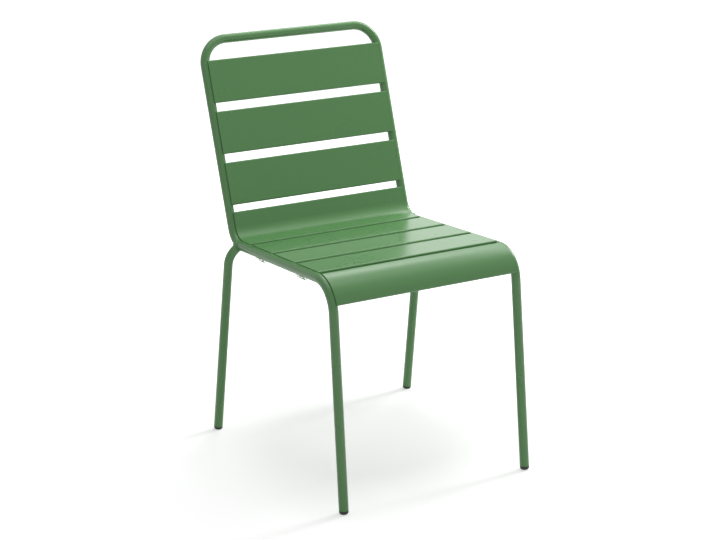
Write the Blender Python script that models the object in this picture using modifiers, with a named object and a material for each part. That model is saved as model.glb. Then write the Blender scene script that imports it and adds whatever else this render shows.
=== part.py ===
# Stackable metal side chair: one bent round tube, two rear legs and eight pressed sheet slats.
# Metres, +Z up. The chair faces -Y. The origin is on the floor, under the middle of its outline.

import math

import bmesh
import bpy
from mathutils import Matrix, Vector

# Round tube of the frame and the rear legs
TUBE_DIAMETER = 0.019
TUBE_WALL = 0.0012
TUBE_BEVEL_RESOLUTION = 6      # 16 sides
BEND_STEP = math.radians(9)    # turn between two rings of a bend
CLOSEST_RINGS = 0.0003

# Frame, on the tube's centre line. A corner is where two straights would meet without their bend.
RAIL_SPACING = 0.4104          # between the two side rails
FRONT_LEG_SPLAY = 0.0039       # front foot outboard of its side rail
SEAT_FRONT_HEIGHT = 0.4537     # corner of front leg and side rail
SEAT_REAR_HEIGHT = 0.4247      # corner of side rail and back upright
SEAT_RUN = 0.428               # from the front corner back to the rear corner
FRONT_LEG_RAKE = 0.0387        # front foot ahead of the front corner
BACK_RISE = 0.4046             # top rail above the rear corner
BACK_RUN = 0.1341              # top rail behind the rear corner
FRONT_BEND_RADIUS = 0.058
SEAT_BACK_BEND_RADIUS = 0.0437
TOP_BEND_RADIUS = 0.054

# Rear legs, on the centre line
REAR_LEG_SPLAY = 0.031         # rear foot outboard of its side rail
REAR_FOOT_BEHIND = 0.0542      # rear foot behind the rear corner
REAR_LEG_CORNER_AHEAD = 0.019  # leg's own corner ahead of the rear corner
REAR_LEG_CORNER_DROP = 0.0197  # and below it
REAR_LEG_CORNER_OUT = 0.0242   # and outboard of the side rail
REAR_BEND_RADIUS = 0.042
REAR_JOINT_INTO_BEND = 0.0123  # where the leg aims, past the start of the seat to back bend

# Slats: pressed sheet with its long edges rounded over and returned as flanges
SHEET = 0.0015
SLAT_END_INSET = 0.0032        # slat's end inboard of the tube's centre
SLAT_EDGE_RADIUS = 0.003
SLAT_FLANGE_DEPTH = 0.008
SLAT_EDGE_STEPS = 3
FLANGE_TUBE_CLEARANCE = 0.001  # flanges stop this far from the tube
TAB_RELIEF = 0.0008            # notch between a flange's end and the flat tab that lies on the tube
FLAT_SLATS_EACH = 3            # in the back and in the seat. Their width fills the space left.
BACK_SLAT_GAP = 0.018
LOWEST_BACK_GAP = 0.0142       # between the lowest back slat and the curved slat
HAND_GRIP = 0.0338             # clear opening between the top slat and the top rail
SEAT_SLAT_GAP = 0.0124
FIRST_SEAT_SLAT = 0.0025       # first flat slat's front edge behind the front bend
CURVED_SLAT_UP = 0.0651        # curved slat's top edge above the rear corner, along the upright
CURVED_SLAT_FORWARD = 0.065    # its front edge ahead of the rear corner, along the rail
FRONT_SLAT_STOP = 0.0128       # front slat's lower edge above the foot of the front bend, along the tube

# Foot caps: plastic plugs with a finned shank inside the tube
CAP_HEAD = 0.007               # from the floor to the tube's end
CAP_CORNER_RADIUS = 0.0055
CAP_CORNER_STEPS = 4
CAP_TIP_CUT = 0.0006           # ground off the tip, so that it stands flat
SHANK_LENGTH = 0.016
SHANK_CORE_CLEARANCE = 0.0019  # between the shank's core and the tube's bore
SHANK_FIN_CLEARANCE = 0.0004
SHANK_FINS = 2
SHANK_FIN_HEIGHT = 0.003

# Stacking pads: clear plastic saddles pinned under the side rails
PAD_LENGTH = 0.025
PAD_DEPTH = 0.005              # below the tube
PAD_WRAP = math.radians(48)    # either side of straight down
PAD_LIP = 0.0018               # beyond the tube's skin where the wrap ends
PAD_EDGE = 0.0006              # rounding of its edges
PAD_EDGE_ANGLE = math.radians(50)
PAD_STEPS = 6
FRONT_PAD_BACK = 0.122         # pad's middle behind the front corner, along the rail
REAR_PAD_BACK = 0.303
PIN_DIAMETER = 0.004
PIN_BARB_DIAMETER = 0.0052
PIN_BARB_LENGTH = 0.003
PIN_REACH = 0.0006             # neck of the pin beyond the tube's wall
PIN_HOLE_CLEARANCE = 0.0003
PIN_DRILL_LENGTH = 0.0048

# Weld beads
SLAT_BEAD_DIAMETER = 0.003
SLAT_BEAD_LENGTH = 0.014
SLAT_BEAD_SINK = 0.0005        # into the slat
SLAT_BEAD_SPREAD = 0.25        # of the slat's width, either side of its middle
LEG_BEAD_DIAMETER = 0.0028
LEG_BEAD_POINTS = 24
LEG_BEAD_SEARCH = 60           # places tried along the rail for the one nearest to the bead
LEG_BEAD_HALVINGS = 20
LEG_BEAD_EASE = 0.002          # rounds the bead's turn beside the rail
BEAD_END_TAPER = 0.45          # radius at a bead's ends, as a share
BEAD_FULL_SHARE = 0.5          # middle of a bead that has its full radius, as a share of its length

# Gap between pieces that touch on the real chair
FIT_GAP = 0.0003

# Fineness
TURNED_STEPS = 16
PIN_STEPS = 10
SHARP_ANGLE = math.radians(40)
FLAT_ANGLE = math.radians(1)
MERGE = 0.00005

# Colours are linear
PAINT = ((0.070, 0.238, 0.058), 0.3, 0.0)
BLACK_PLASTIC = ((0.018, 0.018, 0.018), 0.5, 0.0)
CLEAR_PLASTIC = ((0.80, 0.86, 0.82), 0.2, 0.0)

# Worked out from the sizes above
TUBE_RADIUS = TUBE_DIAMETER / 2
BORE_RADIUS = TUBE_RADIUS - TUBE_WALL
RAIL_HALF = RAIL_SPACING / 2
FACE_OFFSET = TUBE_RADIUS + FIT_GAP + SHEET
SLAT_HALF_LENGTH = RAIL_HALF - SLAT_END_INSET
FLANGE_HALF_LENGTH = RAIL_HALF - TUBE_RADIUS - FLANGE_TUBE_CLEARANCE
TAB_START = FLANGE_HALF_LENGTH + TAB_RELIEF
FRONT_LEAN = math.atan2(FRONT_LEG_RAKE, SEAT_FRONT_HEIGHT)
FRONT_CAP_LIP = CAP_CORNER_RADIUS - CAP_TIP_CUT
FRONT_CAP_REACH = TUBE_RADIUS * math.cos(FRONT_LEAN) - FRONT_CAP_LIP * math.sin(FRONT_LEAN)
FRONT_FOOT_Y = (FRONT_CAP_REACH - TUBE_RADIUS - FRONT_LEG_RAKE - SEAT_RUN - BACK_RUN) / 2
FRONT_CORNER_Y = FRONT_FOOT_Y + FRONT_LEG_RAKE
REAR_CORNER_Y = FRONT_CORNER_Y + SEAT_RUN
TOP_RAIL_Y = REAR_CORNER_Y + BACK_RUN
TOP_RAIL_HEIGHT = SEAT_REAR_HEIGHT + BACK_RISE


class SidePath:
    # Side view of the tube in the Y-Z plane: straights joined by tangent arcs.
    # A distance runs along it from its first corner, which is where the front foot stands.

    def __init__(self, corners, radii):
        self.runs = []
        self.bends = []
        self.length = 0.0
        place = corners[0]
        for index, radius in enumerate(radii, start=1):
            arriving = corners[index] - corners[index - 1]
            leaving = corners[index + 1] - corners[index]
            heading = math.atan2(arriving.y, arriving.x)
            turn = math.atan2(leaving.y, leaving.x) - heading
            setback = radius * math.tan(abs(turn) / 2)
            self.add_run((corners[index] - place).length - setback, place, heading, 0.0)
            bend_start = self.length
            tangent = corners[index] - arriving.normalized() * setback
            self.add_run(radius * abs(turn), tangent, heading, math.copysign(1 / radius, turn))
            self.bends.append((bend_start, self.length, setback))
            place = corners[index] + leaving.normalized() * setback
        last = corners[-1] - place
        self.add_run(last.length, place, math.atan2(last.y, last.x), 0.0)

    def add_run(self, length, place, heading, curve):
        self.runs.append((self.length, length, place, heading, curve))
        self.length += length

    def at(self, distance):
        # Point and heading at a distance
        for start, length, place, heading, curve in self.runs:
            if distance <= start + length:
                break
        gone = distance - start
        if curve == 0:
            return place + Vector((math.cos(heading), math.sin(heading))) * gone, heading
        turned = heading + gone * curve
        across = (math.sin(turned) - math.sin(heading)) / curve
        rise = (math.cos(heading) - math.cos(turned)) / curve
        return place + Vector((across, rise)), turned

    def offset(self, distance, lift):
        # Point raised from the path on the side where the slats lie, and the heading there
        place, heading = self.at(distance)
        return place + Vector((-math.sin(heading), math.cos(heading))) * lift, heading

    def stations(self, first, last):
        # Distances that describe the path from first to last: close in the bends, none between
        marks = [first]
        for start, length, _, _, curve in self.runs:
            steps = max(1, math.ceil(length * abs(curve) / BEND_STEP))
            for step in range(1, steps + 1):
                mark = start + length * step / steps
                if marks[-1] + CLOSEST_RINGS < mark < last - CLOSEST_RINGS:
                    marks.append(mark)
        return marks + [last]


SIDE = SidePath(
    [
        Vector((FRONT_FOOT_Y, 0)),
        Vector((FRONT_CORNER_Y, SEAT_FRONT_HEIGHT)),
        Vector((REAR_CORNER_Y, SEAT_REAR_HEIGHT)),
        Vector((TOP_RAIL_Y, TOP_RAIL_HEIGHT)),
    ],
    [FRONT_BEND_RADIUS, SEAT_BACK_BEND_RADIUS],
)
FRONT_BEND_START, FRONT_BEND_END, FRONT_SETBACK = SIDE.bends[0]
BACK_BEND_START, BACK_BEND_END, BACK_SETBACK = SIDE.bends[1]
CURVED_SLAT_FRONT = BACK_BEND_START + BACK_SETBACK - CURVED_SLAT_FORWARD
CURVED_SLAT_TOP = BACK_BEND_END - BACK_SETBACK + CURVED_SLAT_UP
BACK_SLATS_TOP = SIDE.length - TUBE_RADIUS - HAND_GRIP
SEAT_SLATS_FRONT = FRONT_BEND_END + FIRST_SEAT_SLAT
BACK_SLATS_RUN = BACK_SLATS_TOP - CURVED_SLAT_TOP - LOWEST_BACK_GAP + BACK_SLAT_GAP
SEAT_SLATS_RUN = CURVED_SLAT_FRONT - SEAT_SLATS_FRONT
BACK_SLAT_WIDTH = BACK_SLATS_RUN / FLAT_SLATS_EACH - BACK_SLAT_GAP
SEAT_SLAT_WIDTH = SEAT_SLATS_RUN / FLAT_SLATS_EACH - SEAT_SLAT_GAP


def behind_front_corner(reach):
    return FRONT_BEND_END - FRONT_SETBACK + reach


def frame_point(distance, side, lift=0.0):
    # Point on the frame's left (side -1) or right (side 1), with the front leg's splay
    place, _ = SIDE.offset(distance, lift)
    leg_top, _ = SIDE.at(FRONT_BEND_START)
    splay = FRONT_LEG_SPLAY * max(0.0, 1 - place.y / leg_top.y)
    return Vector((side * (RAIL_HALF + splay), place.x, place.y))


def rail_frame(distance, side, lift=0.0):
    # Placement with local Y along the tube and local Z towards the slats
    _, heading = SIDE.at(distance)
    along = Vector((0, math.cos(heading), math.sin(heading)))
    outward = Vector((0, -math.sin(heading), math.cos(heading)))
    turn = Matrix((Vector((1, 0, 0)), along, outward)).transposed().to_4x4()
    return Matrix.Translation(frame_point(distance, side, lift)) @ turn


def rounded_corner(before, corner, after, radius):
    # Points of the arc that rounds a corner between two straights
    arriving = (corner - before).normalized()
    leaving = (after - corner).normalized()
    turn = arriving.angle(leaving)
    inward = (leaving - arriving * arriving.dot(leaving)).normalized()
    start = corner - arriving * radius * math.tan(turn / 2)
    centre = start + inward * radius
    steps = math.ceil(turn / BEND_STEP)
    points = []
    for step in range(steps + 1):
        angle = turn * step / steps
        points.append(centre + (arriving * math.sin(angle) - inward * math.cos(angle)) * radius)
    return points


def clear_scene():
    for item in list(bpy.data.objects):
        bpy.data.objects.remove(item, do_unlink=True)


def new_collection(name):
    collection = bpy.data.collections.new(name)
    bpy.context.scene.collection.children.link(collection)
    return collection


def add_part(name, mesh, finish, placement=None):
    # A piece of the chair, with its own material
    color, roughness, metallic = finish
    material = bpy.data.materials.new(name)
    material.use_nodes = True
    shader = material.node_tree.nodes["Principled BSDF"]
    shader.inputs["Base Color"].default_value = (*color, 1)
    shader.inputs["Roughness"].default_value = roughness
    shader.inputs["Metallic"].default_value = metallic
    material.diffuse_color = (*color, 1)
    part = bpy.data.objects.new(name, mesh)
    if not mesh.materials:
        mesh.materials.append(material)
    chair_parts.objects.link(part)
    part.parent = chair
    part.material_slots[0].link = "OBJECT"
    part.material_slots[0].material = material
    if placement is not None:
        part.matrix_world = placement
    return part


def add_cutter(name, mesh, placement=None):
    cutter = bpy.data.objects.new(name, mesh)
    cutters.objects.link(cutter)
    cutter.hide_render = True
    cutter.display_type = "WIRE"
    if placement is not None:
        cutter.matrix_world = placement
    return cutter


def combine(part, cutter, operation):
    change = part.modifiers.new(cutter.name, "BOOLEAN")
    change.operation = operation
    change.solver = "EXACT"
    change.object = cutter


def swept_mesh(name, points, radius, resolution, closed_ends=True, ring=False, end_taper=1.0):
    # A round bar or an open tube along the points, made as a curve and turned into a mesh
    curve = bpy.data.curves.new(name, "CURVE")
    curve.dimensions = "3D"
    curve.bevel_depth = radius
    curve.bevel_resolution = resolution
    curve.use_fill_caps = closed_ends and not ring
    spline = curve.splines.new("POLY")
    spline.points.add(len(points) - 1)
    for spot, point in zip(spline.points, points):
        spot.co = (*point, 1)
    spline.use_cyclic_u = ring
    spline.points[0].radius = end_taper
    spline.points[-1].radius = end_taper
    guide = bpy.data.objects.new(name, curve)
    bpy.context.scene.collection.objects.link(guide)
    evaluated = guide.evaluated_get(bpy.context.evaluated_depsgraph_get())
    mesh = bpy.data.meshes.new_from_object(evaluated)
    bpy.data.objects.remove(guide)
    bpy.data.curves.remove(curve)
    bm = bmesh.new()
    bm.from_mesh(mesh)
    bmesh.ops.remove_doubles(bm, verts=bm.verts, dist=MERGE)
    bmesh.ops.recalc_face_normals(bm, faces=bm.faces)
    bm.to_mesh(mesh)
    bm.free()
    mesh.shade_smooth()
    mesh.set_sharp_from_angle(angle=SHARP_ANGLE)
    return mesh


def turned_mesh(name, profile):
    # Outer half profile, from the top down, for a Screw modifier
    bm = bmesh.new()
    row = [bm.verts.new((across, 0, height)) for across, height in profile]
    for upper, lower in zip(row, row[1:]):
        bm.edges.new((upper, lower))
    mesh = bpy.data.meshes.new(name)
    bm.to_mesh(mesh)
    bm.free()
    return mesh


def turn(part, steps):
    screw = part.modifiers.new("turned", "SCREW")
    screw.steps = steps
    screw.render_steps = steps
    screw.use_merge_vertices = True
    screw.merge_threshold = MERGE
    screw.use_smooth_shade = True


def joined_mesh(name, meshes):
    bm = bmesh.new()
    for mesh in meshes:
        bm.from_mesh(mesh)
    joined = bpy.data.meshes.new(name)
    bm.to_mesh(joined)
    bm.free()
    for mesh in meshes:
        bpy.data.meshes.remove(mesh)
    joined.shade_smooth()
    joined.set_sharp_from_angle(angle=SHARP_ANGLE)
    return joined


# Main frame: front legs, side rails, back uprights and top rail in one bent tube


def main_frame_path():
    top_corner = Vector((RAIL_HALF, TOP_RAIL_Y, TOP_RAIL_HEIGHT))
    upright = frame_point(BACK_BEND_END, 1)
    middle = Vector((0, TOP_RAIL_Y, TOP_RAIL_HEIGHT))
    right = []
    for distance in SIDE.stations(CAP_HEAD + FIT_GAP, BACK_BEND_END):
        right.append(frame_point(distance, 1))
    right += rounded_corner(upright, top_corner, middle, TOP_BEND_RADIUS)
    left = [Vector((-point.x, point.y, point.z)) for point in right]
    return left + right[::-1]


def make_tube(name, path):
    mesh = swept_mesh(name, path, TUBE_RADIUS, TUBE_BEVEL_RESOLUTION, closed_ends=False)
    tube = add_part(name, mesh, PAINT)
    wall = tube.modifiers.new("wall", "SOLIDIFY")
    wall.thickness = TUBE_WALL
    wall.offset = -1
    wall.use_even_offset = True
    return tube


def make_main_frame():
    frame = make_tube("main_frame", main_frame_path())
    drills = []
    for side in (-1, 1):
        for reach in (FRONT_PAD_BACK, REAR_PAD_BACK):
            bm = bmesh.new()
            placement = rail_frame(behind_front_corner(reach), side, -TUBE_RADIUS)
            radius = PIN_DIAMETER / 2 + PIN_HOLE_CLEARANCE
            bmesh.ops.create_cone(
                bm, cap_ends=True, segments=PIN_STEPS, radius1=radius, radius2=radius,
                depth=PIN_DRILL_LENGTH, matrix=placement,
            )
            drill = bpy.data.meshes.new("pad_pin_drill")
            bm.to_mesh(drill)
            bm.free()
            drills.append(drill)
    combine(frame, add_cutter("pad_pin_drills", joined_mesh("pad_pin_drills", drills)), "DIFFERENCE")
    return frame


# Rear legs: coped to the side rail at the foot of the back


def rear_leg_corners(side):
    foot = Vector((side * (RAIL_HALF + REAR_LEG_SPLAY), REAR_CORNER_Y + REAR_FOOT_BEHIND, 0))
    corner = Vector((
        side * (RAIL_HALF + REAR_LEG_CORNER_OUT),
        REAR_CORNER_Y - REAR_LEG_CORNER_AHEAD,
        SEAT_REAR_HEIGHT - REAR_LEG_CORNER_DROP,
    ))
    joint = frame_point(BACK_BEND_START + REAR_JOINT_INTO_BEND, side)
    return foot, corner, joint


def make_rear_leg(name, side, rail_cutter):
    foot, corner, joint = rear_leg_corners(side)
    start = foot + (corner - foot).normalized() * (CAP_HEAD + FIT_GAP)
    path = [start] + rounded_corner(foot, corner, joint, REAR_BEND_RADIUS) + [joint]
    leg = make_tube(name, path)
    combine(leg, rail_cutter, "DIFFERENCE")
    return leg


# Slats


def with_returned_edges(face):
    # Cross-section of a slat: its face line, with the rounded edge and flange added at both ends
    ends = []
    for (place, heading), way in ((face[0], -1), (face[-1], 1)):
        along = Vector((math.cos(heading), math.sin(heading))) * way
        inward = Vector((math.sin(heading), -math.cos(heading)))
        edge = []
        for step in range(1, SLAT_EDGE_STEPS + 1):
            angle = math.pi / 2 * step / SLAT_EDGE_STEPS
            sweep = along * math.sin(angle) + inward * (1 - math.cos(angle))
            edge.append(place + sweep * SLAT_EDGE_RADIUS)
        edge.append(edge[-1] + inward * (SLAT_FLANGE_DEPTH - SLAT_EDGE_RADIUS))
        ends.append(edge)
    return ends[0][::-1] + [place for place, _ in face] + ends[1]


def widen_tab(bm, station, mark, outward):
    # Beyond the flange's end, extends one long side of the tab to the slat's full width
    past_flange = (FLANGE_HALF_LENGTH + TAB_START) / 2
    rim = []
    for edge in bm.edges:
        on_mark = all(vert[station] == mark for vert in edge.verts)
        if on_mark and min(vert.co.x for vert in edge.verts) > past_flange:
            rim.append(edge)
    widened = bmesh.ops.extrude_edge_only(bm, edges=rim)["geom"]
    fresh = [item for item in widened if isinstance(item, bmesh.types.BMVert)]
    bmesh.ops.translate(bm, vec=outward * SLAT_EDGE_RADIUS, verts=fresh)


def slat_mesh(name, face):
    # Half of a slat's outer skin. The flanges stop short of the tube, and a flat tab of the slat's
    # full width laps over it.
    section = with_returned_edges(face)
    edge_points = SLAT_EDGE_STEPS + 1
    bm = bmesh.new()
    station = bm.verts.layers.int.new("station")
    row = []
    for index, place in enumerate(section):
        vert = bm.verts.new((0, place.x, place.y))
        vert[station] = index
        row.append(vert)
    edges = [bm.edges.new(pair) for pair in zip(row, row[1:])]
    for reach in (FLANGE_HALF_LENGTH, TAB_START, SLAT_HALF_LENGTH):
        swept = bmesh.ops.extrude_edge_only(bm, edges=edges)["geom"]
        fresh = {item for item in swept if isinstance(item, bmesh.types.BMVert)}
        for vert in fresh:
            vert.co.x = reach
        edges = [item for item in swept if isinstance(item, bmesh.types.BMEdge)]
        edges = [edge for edge in edges if set(edge.verts) <= fresh]
    trimmed = []
    for strip in bm.faces:
        marks = [vert[station] for vert in strip.verts]
        on_edge = min(marks) < edge_points or max(marks) > len(section) - 1 - edge_points
        if on_edge and strip.calc_center_median().x > FLANGE_HALF_LENGTH:
            trimmed.append(strip)
    bmesh.ops.delete(bm, geom=trimmed, context="FACES")
    _, first_heading = face[0]
    _, last_heading = face[-1]
    first_along = Vector((0, math.cos(first_heading), math.sin(first_heading)))
    last_along = Vector((0, math.cos(last_heading), math.sin(last_heading)))
    widen_tab(bm, station, edge_points, -first_along)
    widen_tab(bm, station, len(section) - 1 - edge_points, last_along)
    bmesh.ops.recalc_face_normals(bm, faces=bm.faces)
    bm.normal_update()
    outward = Vector((0, -math.sin(first_heading), math.cos(first_heading)))
    sample = next(strip for strip in bm.faces if {vert[station] for vert in strip.verts}
                  == {edge_points, edge_points + 1})
    if sample.normal.dot(outward) < 0:
        bmesh.ops.reverse_faces(bm, faces=bm.faces)
    mesh = bpy.data.meshes.new(name)
    bm.to_mesh(mesh)
    bm.free()
    mesh.shade_smooth()
    mesh.set_sharp_from_angle(angle=SHARP_ANGLE)
    return mesh


def bead_meshes(point_at, middles):
    # Short welds in the corner between the tube and the hidden face of a slat. They are part of the
    # slat, and stop short of the tube.
    radius = SLAT_BEAD_DIAMETER / 2
    lift = TUBE_RADIUS + FIT_GAP + SLAT_BEAD_SINK - radius
    inboard = math.sqrt((TUBE_RADIUS + radius + FIT_GAP) ** 2 - lift ** 2)
    beads = []
    for middle in middles:
        for side in (-1, 1):
            points = []
            for share in (-0.5, -BEAD_FULL_SHARE / 2, BEAD_FULL_SHARE / 2, 0.5):
                place = point_at(middle + share * SLAT_BEAD_LENGTH, lift)
                points.append(Vector((side * (RAIL_HALF - inboard), place.x, place.y)))
            beads.append(swept_mesh("bead", points, radius, 1, end_taper=BEAD_END_TAPER))
    return joined_mesh("slat_beads", beads)


def make_slat(name, mesh, beads, placement=None):
    slat = add_part(name, mesh, PAINT, placement)
    mirror = slat.modifiers.new("other_half", "MIRROR")
    mirror.merge_threshold = MERGE
    wall = slat.modifiers.new("sheet", "SOLIDIFY")
    wall.thickness = SHEET
    wall.offset = -1
    wall.use_even_offset = True
    combine(slat, add_cutter(name + "_beads", beads, placement), "UNION")


def make_flat_slats(group, width, gap, first_middle, way):
    # Slats of one size on a straight of the tube, numbered from the first middle onwards
    half = width / 2 - SLAT_EDGE_RADIUS
    mesh = slat_mesh(group, [(Vector((-half, 0)), 0.0), (Vector((half, 0)), 0.0)])
    spread = width * SLAT_BEAD_SPREAD
    beads = bead_meshes(lambda run, lift: Vector((run, lift - FACE_OFFSET)), (-spread, spread))
    for index in range(FLAT_SLATS_EACH):
        placement = rail_frame(first_middle + way * index * (width + gap), 1, FACE_OFFSET)
        placement.translation.x = 0
        make_slat("%s_%d" % (group, index + 1), mesh, beads, placement)


def make_back_slats():
    top_middle = BACK_SLATS_TOP - BACK_SLAT_WIDTH / 2
    make_flat_slats("back_slat", BACK_SLAT_WIDTH, BACK_SLAT_GAP, top_middle, -1)


def make_seat_slats():
    rear_middle = CURVED_SLAT_FRONT - SEAT_SLAT_GAP - SEAT_SLAT_WIDTH / 2
    make_flat_slats("seat_slat", SEAT_SLAT_WIDTH, SEAT_SLAT_GAP, rear_middle, -1)


def make_bent_slat(name, first, last, edge_scale, bead_middles):
    # A slat that follows the tube round a bend. The edge scale turns a length on the face into
    # the length along the tube's centre line.
    trim = SLAT_EDGE_RADIUS * edge_scale
    face = []
    for distance in SIDE.stations(first + trim, last - trim):
        face.append(SIDE.offset(distance, FACE_OFFSET))
    beads = bead_meshes(lambda run, lift: SIDE.offset(run, lift)[0], bead_middles)
    make_slat(name, slat_mesh(name, face), beads)


def make_curved_slat():
    middles = ((CURVED_SLAT_FRONT + BACK_BEND_START) / 2, (CURVED_SLAT_TOP + BACK_BEND_END) / 2)
    make_bent_slat("curved_slat", CURVED_SLAT_FRONT, CURVED_SLAT_TOP, 1.0, middles)


def make_front_slat():
    # Its face is longer than the tube's centre line by the face scale. The rear edge comes one gap
    # ahead of the first seat slat, and the gap runs on into the bend.
    face_scale = FRONT_BEND_RADIUS / (FRONT_BEND_RADIUS + FACE_OFFSET)
    rear_edge = FRONT_BEND_END - (SEAT_SLAT_GAP - FIRST_SEAT_SLAT) * face_scale
    lower_edge = FRONT_BEND_START + FRONT_SLAT_STOP
    quarter = (rear_edge - lower_edge) / 4
    middles = (lower_edge + quarter, rear_edge - quarter)
    make_bent_slat("front_slat", lower_edge, rear_edge, face_scale, middles)


# Foot caps


def cap_profile():
    top = CAP_HEAD + SHANK_LENGTH
    core = BORE_RADIUS - SHANK_CORE_CLEARANCE
    fin = BORE_RADIUS - SHANK_FIN_CLEARANCE
    profile = [(0, top), (core, top)]
    spacing = SHANK_LENGTH / (SHANK_FINS + 1)
    for index in range(SHANK_FINS):
        height = top - spacing * (index + 1)
        profile.append((core, height + SHANK_FIN_HEIGHT / 2))
        profile.append((fin, height))
        profile.append((core, height - SHANK_FIN_HEIGHT / 2))
    profile.append((core, CAP_HEAD))
    profile.append((TUBE_RADIUS, CAP_HEAD))
    for step in range(CAP_CORNER_STEPS + 1):
        angle = math.pi / 2 * step / CAP_CORNER_STEPS
        across = TUBE_RADIUS - CAP_CORNER_RADIUS * (1 - math.cos(angle))
        height = CAP_CORNER_RADIUS * (1 - math.sin(angle)) - CAP_TIP_CUT
        profile.append((across, height))
    profile.append((0, -CAP_TIP_CUT))
    return profile


def make_cap(name, foot, toward, floor_cutter):
    axis = (toward - foot).normalized()
    placement = Matrix.Translation(foot) @ axis.to_track_quat("Z", "Y").to_matrix().to_4x4()
    cap = add_part(name, turned_mesh(name, cap_profile()), BLACK_PLASTIC, placement)
    turn(cap, TURNED_STEPS)
    combine(cap, floor_cutter, "DIFFERENCE")


def make_foot_caps():
    depth = CAP_HEAD
    bm = bmesh.new()
    size = Matrix.Diagonal((RAIL_SPACING * 2, SEAT_RUN * 2, depth, 1))
    bmesh.ops.create_cube(bm, size=1, matrix=Matrix.Translation((0, 0, -depth / 2)) @ size)
    block = bpy.data.meshes.new("below_floor")
    bm.to_mesh(block)
    bm.free()
    floor_cutter = add_cutter("below_floor", block)
    for hand, side in (("left", -1), ("right", 1)):
        knee = frame_point(FRONT_BEND_START, side)
        make_cap("foot_cap_front_" + hand, frame_point(0, side), knee, floor_cutter)
        foot, corner, _ = rear_leg_corners(side)
        make_cap("foot_cap_rear_" + hand, foot, corner, floor_cutter)


# Stacking pads


def pad_outline():
    # Saddle across the tube, with the tube's centre at the origin
    inner = TUBE_RADIUS + FIT_GAP
    outline = []
    for step in range(PAD_STEPS + 1):
        angle = PAD_WRAP * (2 * step / PAD_STEPS - 1)
        outline.append((inner * math.sin(angle), -inner * math.cos(angle)))
    for step in range(PAD_STEPS + 1):
        share = 1 - 2 * step / PAD_STEPS
        angle = PAD_WRAP * share
        reach = TUBE_RADIUS + PAD_LIP + (PAD_DEPTH - PAD_LIP) * math.cos(share * math.pi / 2)
        outline.append((reach * math.sin(angle), -reach * math.cos(angle)))
    return outline


def pad_mesh():
    curve = bpy.data.curves.new("pad", "CURVE")
    curve.dimensions = "2D"
    curve.fill_mode = "BOTH"
    curve.extrude = PAD_LENGTH / 2
    spline = curve.splines.new("POLY")
    outline = pad_outline()
    spline.points.add(len(outline) - 1)
    for spot, (across, height) in zip(spline.points, outline):
        spot.co = (across, height, 0, 1)
    spline.use_cyclic_u = True
    guide = bpy.data.objects.new("pad", curve)
    bpy.context.scene.collection.objects.link(guide)
    evaluated = guide.evaluated_get(bpy.context.evaluated_depsgraph_get())
    mesh = bpy.data.meshes.new_from_object(evaluated)
    bpy.data.objects.remove(guide)
    bpy.data.curves.remove(curve)
    bm = bmesh.new()
    bm.from_mesh(mesh)
    bmesh.ops.remove_doubles(bm, verts=bm.verts, dist=MERGE)
    bmesh.ops.dissolve_limit(bm, angle_limit=FLAT_ANGLE, verts=bm.verts, edges=bm.edges)
    bmesh.ops.transform(bm, matrix=Matrix.Rotation(math.pi / 2, 4, "X"), verts=bm.verts)
    bmesh.ops.recalc_face_normals(bm, faces=bm.faces)
    bm.to_mesh(mesh)
    bm.free()
    return mesh


def pin_profile():
    neck = -BORE_RADIUS + PIN_REACH
    return [
        (0, neck + PIN_BARB_LENGTH),
        (PIN_DIAMETER / 4, neck + PIN_BARB_LENGTH),
        (PIN_BARB_DIAMETER / 2, neck),
        (PIN_DIAMETER / 2, neck),
        (PIN_DIAMETER / 2, -TUBE_RADIUS - PAD_DEPTH / 2),
        (0, -TUBE_RADIUS - PAD_DEPTH / 2),
    ]


def make_stacking_pads():
    mesh = pad_mesh()
    pin = turned_mesh("pad_pin", pin_profile())
    for hand, side in (("left", -1), ("right", 1)):
        for row, reach in (("front", FRONT_PAD_BACK), ("rear", REAR_PAD_BACK)):
            placement = rail_frame(behind_front_corner(reach), side)
            name = "stacking_pad_%s_%s" % (row, hand)
            pad = add_part(name, mesh, CLEAR_PLASTIC, placement)
            edge = pad.modifiers.new("rounded", "BEVEL")
            edge.width = PAD_EDGE
            edge.segments = 2
            edge.limit_method = "ANGLE"
            edge.angle_limit = PAD_EDGE_ANGLE
            shank = add_cutter(name + "_pin", pin, placement)
            turn(shank, PIN_STEPS)
            combine(pad, shank, "UNION")


# Rear leg welds


def distance_to_rail(point, side):
    # Nearest distance to the side rail's centre line, around the rear leg's joint
    joint = BACK_BEND_START + REAR_JOINT_INTO_BEND
    distances = []
    for step in range(LEG_BEAD_SEARCH + 1):
        along = joint + TUBE_DIAMETER * 3 * (step / LEG_BEAD_SEARCH - 0.5)
        distances.append((point - frame_point(along, side)).length)
    return min(distances)


def leg_bead_points(side):
    # Where a bead touches both tubes: on each line down the leg, the place that is one bead away
    # from the rail
    _, corner, joint = rear_leg_corners(side)
    down = (corner - joint).normalized()
    along = (frame_point(BACK_BEND_START + REAR_JOINT_INTO_BEND * 2, side) - joint).normalized()
    along = (along - down * along.dot(down)).normalized()
    across = down.cross(along) * side
    reach = TUBE_RADIUS + LEG_BEAD_DIAMETER / 2 + FIT_GAP
    points = []
    for index in range(LEG_BEAD_POINTS):
        angle = 2 * math.pi * index / LEG_BEAD_POINTS
        base = joint + (along * math.cos(angle) + across * math.sin(angle)) * reach
        near = 0.0
        far = reach * 1.5
        for _ in range(LEG_BEAD_HALVINGS):
            half = (near + far) / 2
            if distance_to_rail(base + down * half, side) < reach:
                near = half
            else:
                far = half
        points.append(base + down * math.hypot(far, LEG_BEAD_EASE))
    return points


def make_leg_welds():
    for hand, side in (("left", -1), ("right", 1)):
        name = "rear_leg_weld_" + hand
        bead = swept_mesh(name, leg_bead_points(side), LEG_BEAD_DIAMETER / 2, 1, ring=True)
        add_part(name, bead, PAINT)


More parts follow.
